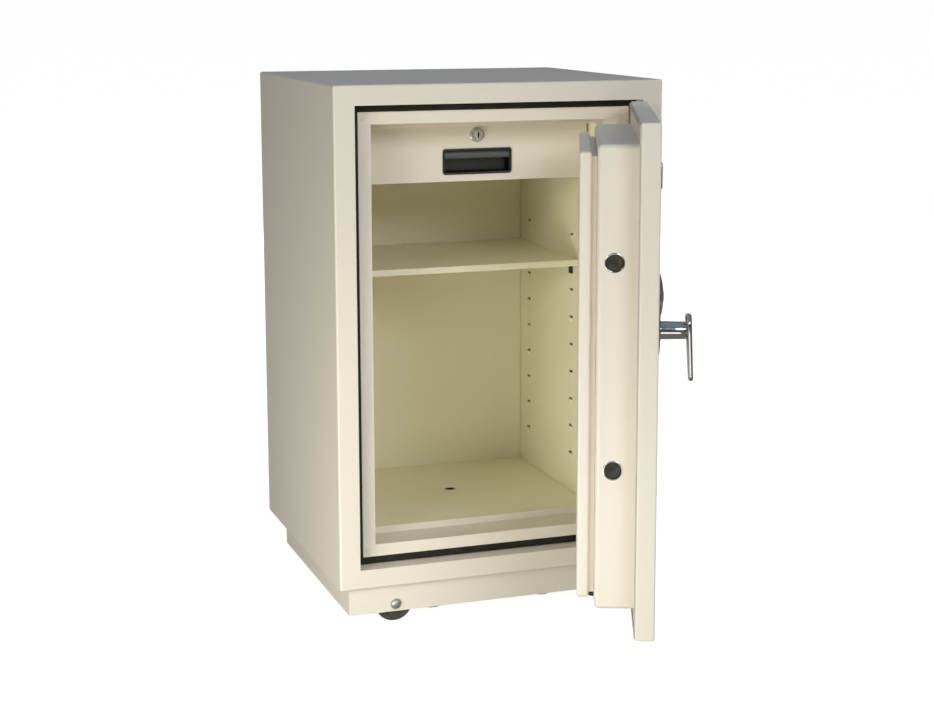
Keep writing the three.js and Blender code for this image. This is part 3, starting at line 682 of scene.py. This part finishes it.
def add_escutcheon():
    """A two-lobed pressed plate with a rolled edge and a low dome round the key cylinder."""
    low, high = closed_box("escutcheon")
    spindle = middle(closed_box("spindle"))
    key = middle(closed_box("key_cylinder"))
    upper_radius = high.z - key.z
    lower_radius = spindle.z - low.z
    dome_top = low.y
    base = high.y
    plate_face = base - PLATE_THICK
    forms = bmesh.new()
    levels = [(0.0, 0.0), (0.0, 1.6), (0.35, 2.7), (1.1, 3.6), (2.3, 4.25), (4.5, 4.55), (9.0, 4.6)]
    loops = []
    for shrink, rise in levels:
        outline = lobed_outline(
            key.z, upper_radius - shrink * MM, spindle.z, lower_radius - shrink * MM,
        )
        loops.append([Vector((key.x + px, base - rise * MM, pz)) for px, pz in outline])
    skinned(forms, loops)
    dome_radius = upper_radius - 2.4 * MM
    dome = []
    for n in range(13):
        share = n / 12
        dome.append((dome_radius * (1 - share) + 8.6 * MM * share,
                     (plate_face - dome_top - 0.1 * MM) * math.sin(share * math.pi / 2) ** 0.9))
    profile = [(dome_radius, -1.2 * MM)] + dome
    profile += [(8.3 * MM, dome[-1][1] - 0.5 * MM), (8.3 * MM, -1.2 * MM), profile[0]]
    turned(forms, profile, 96, "-y", (key.x, plate_face, key.z))
    collar = [
        (16.5 * MM, -0.6 * MM), (16.5 * MM, 0.7 * MM), (15.9 * MM, 1.5 * MM), (14.6 * MM, 1.8 * MM),
        (14.0 * MM, 1.5 * MM), (14.0 * MM, -0.6 * MM), (16.5 * MM, -0.6 * MM),
    ]
    turned(forms, collar, 72, "-y", (spindle.x, plate_face, spindle.z))
    add_piece("escutcheon_plate", "door", "chrome", forms, ["escutcheon"], DOOR_PLACE, 40)


def add_key_cylinder():
    """A key plug with a chamfered rim, a recessed face and a keyway."""
    low, high = closed_box("key_cylinder")
    centre = middle((low, high))
    radius = (high.x - low.x) / 2
    form = lock_plug(radius, high.y - low.y, (centre.x, low.y, centre.z), 1.7 * MM, 10 * MM)
    # the keyway takes near-black painted shade
    add_piece(
        "key_plug", "key_cylinder", "steel", form, ["key_cylinder"], DOOR_PLACE, 35, inset=SHADE_BLACK,
    )


KEYWAY_DEPTH = 5 * MM
PLUG_SEGMENTS = 64
SCREW_SEGMENTS = 48


def circle_facing(centre, radius, count):
    """Points of a circle about a centre, in a plane that faces the front."""
    points = []
    for n in range(count):
        angle = 2 * math.pi * n / count
        points.append(centre + Vector((radius * math.cos(angle), 0, radius * math.sin(angle))))
    return points


def lock_plug(radius, length, at, slot_width, slot_height):
    """A plug facing the front, with its face at a point. The keyway's faces have material index 1, which takes
    near-black painted shade.
    """
    form = bmesh.new()
    face_ring = radius - 0.9 * MM
    profile = [
        (face_ring, 0.0), (radius - 0.35 * MM, -0.12 * MM), (radius, -0.6 * MM),
        (radius, -length), (0, -length),
    ]
    turned(form, profile, PLUG_SEGMENTS, "-y", at)
    at = Vector(at)
    rim = circle_facing(at, face_ring, PLUG_SEGMENTS)
    w, h, jog = slot_width / 2, slot_height / 2, 0.5 * MM
    keyway = [
        (-w, -h), (w, -h), (w, -h * 0.15), (w + jog, -h * 0.05), (w + jog, h * 0.35), (w, h * 0.45),
        (w, h), (-w, h), (-w, h * 0.2), (-w - jog, h * 0.1), (-w - jog, -h * 0.3), (-w, -h * 0.4),
    ]
    hole = [at + Vector((px, 0, pz)) for px, pz in keyway]
    bottom = [p + Vector((0, KEYWAY_DEPTH, 0)) for p in hole]
    flat_ring(form, rim, hole)
    before = set(form.faces)
    skinned(form, [hole, bottom], cap_first=False)
    for face in set(form.faces) - before:
        face.material_index = 1
    return form


def flat_ring(form, outer, inner):
    """Adds a flat face between an outer loop of points and a hole."""
    edges = []
    for loop in (outer, inner):
        made = [form.verts.new(point) for point in loop]
        for n, vertex in enumerate(made):
            edges.append(form.edges.new((vertex, made[(n + 1) % len(made)])))
    bmesh.ops.triangle_fill(form, edges=edges, use_beauty=True)
    return form


LEVER_TOP_DEPTH = 10 * MM
LEVER_TIP_DEPTH = 7.6 * MM
LEVER_TIP_HALF = 9 * MM
LEVER_END_SOFT = 4 * MM
LEVER_STEPS = 44
LEVER_SIDES = 28


def add_handle():
    """The lever, a smooth bar that widens at the hub and leans out to a rounded tip, and its boss."""
    low, high = closed_box("lever")
    boss_low, boss_high = closed_box("spindle")
    spindle = Vector((middle((low, high)).x, 0, 0))
    joint = DOOR_CLOSED @ Vector(JOINTS["handle_turn"]["pos_m"])
    hub = joint.z
    hub_half = (high.x - low.x) / 2
    front, back = low.y, high.y
    length = high.z - low.z
    loops = []
    for n in range(LEVER_STEPS + 1):
        share = 0.5 - 0.5 * math.cos(math.pi * n / LEVER_STEPS)
        z = high.z - length * share
        half = lever_half_width(z, high.z, low.z, hub_half)
        lean = (z - high.z) / length
        face_y = (back - LEVER_TOP_DEPTH) + lean * (back - LEVER_TOP_DEPTH - front)
        rear_y = back + lean * (back - front - LEVER_TIP_DEPTH)
        near_end = min(high.z - z, z - low.z, LEVER_END_SOFT) / LEVER_END_SOFT
        thin = min(1.0, math.sqrt(max(0.0, 1 - (1 - near_end) ** 2)))
        mid_y, deep = (face_y + rear_y) / 2, (rear_y - face_y) / 2 * max(thin, 0.05)
        loop = []
        for k in range(LEVER_SIDES):
            angle = 2 * math.pi * k / LEVER_SIDES
            c, s = math.cos(angle), math.sin(angle)
            px = math.copysign(abs(c) ** 0.75, c) * half
            py = math.copysign(abs(s) ** 0.6, s) * deep
            loop.append(Vector((spindle.x + px, mid_y + py, z)))
        loops.append(loop)
    form = skinned(bmesh.new(), loops)
    add_piece("lever_arm", "handle", "chrome", form, ["lever"], DOOR_PLACE, 60)

    face = boss_low.y
    radius = 13.5 * MM
    plate = closed_box("escutcheon")[1].y - PLATE_THICK
    length = plate - 0.6 * MM - face
    profile = [
        (0, 0), (radius - 2.4 * MM, 0), (radius - 1.2 * MM, -0.5 * MM), (radius - 0.4 * MM, -1.6 * MM),
        (radius - 0.4 * MM, -length * 0.45), (radius, -length * 0.8), (radius, -length + 0.5 * MM),
        (radius - 0.5 * MM, -length), (6 * MM, -length),
    ]
    total = boss_high.y - face
    profile += [
        (6 * MM, -total + 5 * MM), (40 * MM, -total + 5 * MM), (40 * MM, -total), (0, -total),
    ]
    form = turned(bmesh.new(), profile, 96, "-y", (joint.x, face, hub))
    add_piece("handle_boss", "handle", "chrome", form, ["spindle"], DOOR_PLACE, 40)


def lever_half_width(z, top, bottom, hub_half):
    """Half width of the lever: round at both ends, tapering from the hub to the tip."""
    upper_centre = top - hub_half
    lower_centre = bottom + LEVER_TIP_HALF
    if z >= upper_centre:
        return math.sqrt(max(hub_half ** 2 - (z - upper_centre) ** 2, (0.6 * MM) ** 2))
    if z <= lower_centre:
        return math.sqrt(max(LEVER_TIP_HALF ** 2 - (lower_centre - z) ** 2, (0.6 * MM) ** 2))
    share = (upper_centre - z) / (upper_centre - lower_centre)
    return hub_half + (LEVER_TIP_HALF - hub_half) * (3 * share ** 2 - 2 * share ** 3) * 0.999


def add_badge():
    """A plain pillowed plate with a raised border and no marks."""
    low, high = closed_box("badge")
    centre = middle((low, high))
    width, height, thick = high.x - low.x, high.z - low.z, high.y - low.y
    levels = [
        (0, 0, 4), (0, thick * 0.55, 4), (0.5, thick * 0.78, 3.8), (1.3, thick * 0.88, 3.4),
        (2.2, thick * 0.88, 3.0), (2.9, thick * 0.72, 2.8), (4.2, thick * 0.74, 2.4),
        (8.0, thick * 0.88, 2.0), (12.5, thick * 0.96, 1.6), (16.5, thick, 1.2),
    ]
    loops = rounded_levels(width, height, levels, centre, high.y)
    add_piece("badge_plate", "door", "chrome", skinned(bmesh.new(), loops), ["badge"], DOOR_PLACE, 30)


def add_bolts():
    """Lock bolts with chamfered, slightly hollowed ends, their bar, and the bright bushes."""
    low, high = closed_box("bolt_work")
    bushes = [closed_box(f"bolt_bush_{level}") for level in LEVELS]
    radius = 12.5 * MM
    bar_x = high.x
    form = bmesh.new()
    for bush in bushes:
        centre = middle(bush)
        length = bar_x - 6 * MM - low.x
        profile = [
            (0, -0.5 * MM), (radius - 3.6 * MM, -0.5 * MM), (radius - 2.9 * MM, -0.05 * MM),
            (radius - 1.6 * MM, 0), (radius - 0.5 * MM, -0.5 * MM), (radius, -1.6 * MM),
            (radius, -length), (0, -length),
        ]
        turned(form, profile, 72, "-x", (low.x, centre.y, centre.z))
    centre_y = middle(bushes[0]).y
    handle_z = (DOOR_CLOSED @ Vector(JOINTS["handle_turn"]["pos_m"])).z
    pin_length = centre_y - low.y
    pin = [(0, 0), (3.5 * MM, 0), (4 * MM, -0.5 * MM), (4 * MM, -pin_length), (0, -pin_length)]
    turned(form, pin, 32, "-y", (bar_x - 6 * MM, low.y, handle_z))
    # the bar is last, because faces made after a bevel are stored in an order that varies between runs
    bar_low = (bar_x - 12 * MM, centre_y - 6 * MM, low.z)
    bar_high = (bar_x, centre_y + 6 * MM, high.z)
    soft_box(form, bar_low, bar_high, 1.2 * MM)
    add_piece("lock_bolts", "bolt_work", "bolt_steel", form, ["bolt_work"], DOOR_PLACE, 35)

    for level, bush in zip(LEVELS, bushes):
        centre = middle(bush)
        outer = (bush[1].z - bush[0].z) / 2
        bore = radius + 0.08 * MM
        profile = [
            (outer, -0.6 * MM), (outer - 0.15 * MM, -0.2 * MM), (outer - 0.6 * MM, 0),
            (bore + 0.9 * MM, 0), (bore + 0.3 * MM, -0.2 * MM), (bore, -0.8 * MM), (bore, -20 * MM),
            (13.6 * MM, -20 * MM), (13.6 * MM, -0.6 * MM), (outer, -0.6 * MM),
        ]
        form = turned(bmesh.new(), profile, 72, "-x", (bush[0].x, centre.y, centre.z))
        replaced = [f"bolt_bush_{level}"]
        add_piece(f"bush_ring_{level}", "door", "chrome", form, replaced, DOOR_PLACE, 35)


def add_hinge_pins():
    """Hinge pins with a rounded button head."""
    for level in LEVELS:
        name = f"hinge_{level}_pin"
        low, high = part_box(name)
        centre = middle((low, high))
        top = high.z - low.z
        head = 3.2 * MM
        profile = [
            (0, 0), (2.5 * MM, 0), (3 * MM, 0.6 * MM), (3 * MM, top - head), (4.7 * MM, top - head),
            (5 * MM, top - head + 0.4 * MM), (4.9 * MM, top - 1.4 * MM), (4.1 * MM, top - 0.5 * MM),
            (2.4 * MM, top - 0.05 * MM), (0, top),
        ]
        form = turned(bmesh.new(), profile, 48, "z", (centre.x, centre.y, low.z))
        add_piece(f"hinge_pin_{level}", "cabinet", "steel", form, [name], smooth=35)


# ---------------------------------------------------------------- drawer furniture

def add_drawer_pull():
    """A moulded finger cup: rounded rim, rolled upper lip and a deep well, the well near-black as painted shade.
    """
    low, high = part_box("drawer_pull")
    centre = middle((low, high))
    width, height = high.x - low.x, high.z - low.z
    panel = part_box("drawer_front")[0].y
    rise = panel - low.y
    rim = [
        (0.0, 0.1, 5.0), (0.0, 0.55, 5.0), (0.25, 0.9, 4.9), (0.9, 1.0, 4.6), (2.2, 1.0, 4.0),
        (3.1, 0.86, 3.6), (3.7, 0.4, 3.2),
    ]
    well = [
        (3.7, 0.4, 3.2), (4.2, -1.0, 3.0), (4.9, -6.0, 2.7), (5.4, -7.2, 2.5), (6.4, -7.9, 2.2),
        (9.0, -8.0, 2.0),
    ]
    form = bmesh.new()
    for part, last, index in ((rim, False, 0), (well, True, 1)):
        before = set(form.faces)
        levels = [(shrink, share * rise, corner) for shrink, share, corner in part]
        loops = rounded_levels(width, height, levels, centre, panel)
        skinned(form, loops, cap_first=False, cap_last=last)
        for face in set(form.faces) - before:
            face.material_index = index
    # the cup's outside, behind the drawer's face
    behind = [
        (0.0, 0.1 * rise, 5.0), (0.0, 0.0, 5.0), (4.0, 0.0, 2.5), (4.0, -17.5 * MM, 2.5),
        (5.0, -18.5 * MM, 2.5),
    ]
    skinned(form, rounded_levels(width, height, behind, centre, panel), cap_first=False)
    # the well's faces take near-black painted shade
    add_piece(
        "finger_cup", "drawer", "black_plastic", form, ["drawer_pull"], smooth=35, inset=SHADE_BLACK,
    )

    # a rolled lip hangs over the top third of the well, in a lighter black that is painted light
    half = (width - 8.2 * MM) / 2
    lip_top = high.z - 3.9 * MM
    lip_drop = height * 0.29
    section = []
    for n in range(17):
        angle = math.radians(80 + 100 * n / 16)
        section.append((panel + 5.0 * MM + 5.2 * MM * math.cos(angle),
                        lip_top - lip_drop + lip_drop * math.sin(angle)))
    section += [
        (panel + 0.9 * MM, lip_top - lip_drop - 0.4 * MM), (panel + 2.2 * MM, lip_top - lip_drop),
        (panel + 5.4 * MM, lip_top - 1.4 * MM),
    ]
    ends = [[Vector((centre.x + x, y, z)) for y, z in section] for x in (-half, half)]
    form = skinned(bmesh.new(), ends)
    add_piece("finger_cup_lip", "drawer", "black_plastic", form, smooth=35, material=LIT_LIP_BLACK)


def add_drawer_lock():
    """A tapered bezel round a key plug that has a cam behind."""
    low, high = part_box("drawer_lock_ring")
    centre = middle((low, high))
    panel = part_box("drawer_front")[0].y
    proud = panel - low.y
    outer = (high.x - low.x) / 2
    bore = 9.08 * MM
    face = 10.6 * MM
    deep = high.y - low.y
    profile = [
        (outer, -proud + 0.1 * MM), (outer, -proud + 0.9 * MM), (outer - 0.7 * MM, -proud + 1.5 * MM),
        (face + 0.35 * MM, -0.9 * MM), (face - 0.1 * MM, -0.2 * MM), (face - 0.6 * MM, 0),
        (bore + 0.35 * MM, 0), (bore, -0.4 * MM), (bore, -deep), (11 * MM, -deep),
        (11 * MM, -proud + 0.1 * MM), (outer, -proud + 0.1 * MM),
    ]
    form = turned(bmesh.new(), profile, 80, "-y", (centre.x, low.y, centre.z))
    add_piece("lock_bezel", "drawer", "chrome", form, ["drawer_lock_ring"], smooth=35)

    plug_low, plug_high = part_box("drawer_cylinder")
    cam_thick = 2.5 * MM
    length = plug_high.y - plug_low.y - cam_thick
    at = (centre.x, plug_low.y, centre.z)
    form = lock_plug(9 * MM, length, at, 2.3 * MM, 10.5 * MM)
    soft_box(form, (centre.x - 6 * MM, plug_high.y - cam_thick, centre.z - 6 * MM),
             (plug_high.x, plug_high.y, centre.z + 6 * MM), 0.5 * MM)
    # the keyway takes near-black painted shade
    add_piece("drawer_lock_plug", "drawer_cylinder", "chrome", form, ["drawer_cylinder"], smooth=35,
              material=STEEL, inset=SHADE_BLACK)


# ---------------------------------------------------------------- cabinet details

def add_screws():
    """Cross-headed screws that hold the step frame, painted over with it."""
    for side in SIDES:
        for end in ("top", "bottom"):
            name = f"step_screw_{side}_{end}"
            low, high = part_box(name)
            centre = middle((low, high))
            radius = (high.x - low.x) / 2
            thick = high.y - low.y
            form = cross_head(radius, thick, (centre.x, low.y, centre.z))
            add_piece(f"frame_screw_{side}_{end}", "cabinet", "cream_paint", form, [name], smooth=30)


def cross_head(radius, thick, at, tilt=0.4):
    """A low screw head facing the front, with a cross recess."""
    at = Vector(at)
    flat = radius * 0.72
    profile = [
        (0, -thick), (radius, -thick), (radius, -thick * 0.6), (radius * 0.93, -thick * 0.25), (flat, 0),
    ]
    form = turned(bmesh.new(), profile, SCREW_SEGMENTS, "-y", at)
    rim = circle_facing(at, flat, SCREW_SEGMENTS)
    a, b = radius * 0.13, radius * 0.55
    cross = [
        (a, a), (a, b), (-a, b), (-a, a), (-b, a), (-b, -a), (-a, -a), (-a, -b), (a, -b), (a, -a),
        (b, -a), (b, a),
    ]
    turn = Matrix.Rotation(tilt, 2)
    hole = []
    for point in cross:
        px, pz = turn @ Vector(point)
        hole.append(at + Vector((px, 0, pz)))
    bottom = [p + Vector((0, thick * 0.6, 0)) for p in hole]
    flat_ring(form, rim, hole)
    skinned(form, [hole, bottom], cap_first=False)
    return form


SLOT_ROWS = 9
SLOT_PITCH = 50 * MM
ROWS_BELOW_SHELF = 7
WALL_SHEET = 2 * MM
PRESSING_HALF = 8.0 * MM
PRESSING_DROP = 11 * MM
PRESSING_RISE = 1.8 * MM


def add_slot_pressings():
    """Below each shelf slot a small wedge is pressed out of the wall, but not where a clip sits."""
    clips = [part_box(f"shelf_clip_{row}_left") for row in ROWS]
    columns = [middle(clip).y for clip in clips]
    liner_low, liner_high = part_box("liner")
    shelf_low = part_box("shelf")[0].z
    first = shelf_low + 0.5 * MM - ROWS_BELOW_SHELF * SLOT_PITCH
    clip_z = middle(clips[0]).z
    walls = ((liner_low.x + WALL_SHEET, 1), (liner_high.x - WALL_SHEET, -1))
    half, drop, rise = PRESSING_HALF, PRESSING_DROP, PRESSING_RISE
    form = bmesh.new()
    for y in columns:
        for n in range(SLOT_ROWS):
            top = first + n * SLOT_PITCH - 0.4 * MM
            if clip_z - 12 * MM < top < clip_z + 14 * MM:
                continue
            for wall, inward in walls:
                flat = wall - inward * 0.05 * MM
                proud = wall + inward * rise
                mid = wall + inward * rise * 0.45
                outline = [(y - half, top), (y + half, top), (y + half * 0.45, top - drop * 0.62),
                           (y, top - drop), (y - half * 0.45, top - drop * 0.62)]
                ring = [form.verts.new((flat, py, pz)) for py, pz in outline]
                lip = [form.verts.new((proud, y - half * 0.86, top - 0.25 * MM)),
                       form.verts.new((proud, y + half * 0.86, top - 0.25 * MM)),
                       form.verts.new((mid, y, top - drop * 0.6))]
                form.faces.new((ring[0], ring[1], lip[1], lip[0]))
                form.faces.new((lip[0], lip[1], lip[2]))
                form.faces.new((ring[1], ring[2], lip[2], lip[1]))
                form.faces.new((ring[2], ring[3], lip[2]))
                form.faces.new((ring[3], ring[4], lip[2]))
                form.faces.new((ring[4], ring[0], lip[0], lip[2]))
                form.faces.new(list(reversed(ring)))
    add_piece("slot_pressings", "cabinet", "cream_inner_paint", form, smooth=50)


make_camera()
make_studio()
finish_nodes()
add_rollers()
add_axle_bolts()
add_feet()
add_escutcheon()
add_key_cylinder()
add_handle()
add_badge()
add_bolts()
add_hinge_pins()
add_drawer_pull()
add_drawer_lock()
add_screws()
add_slot_pressings()
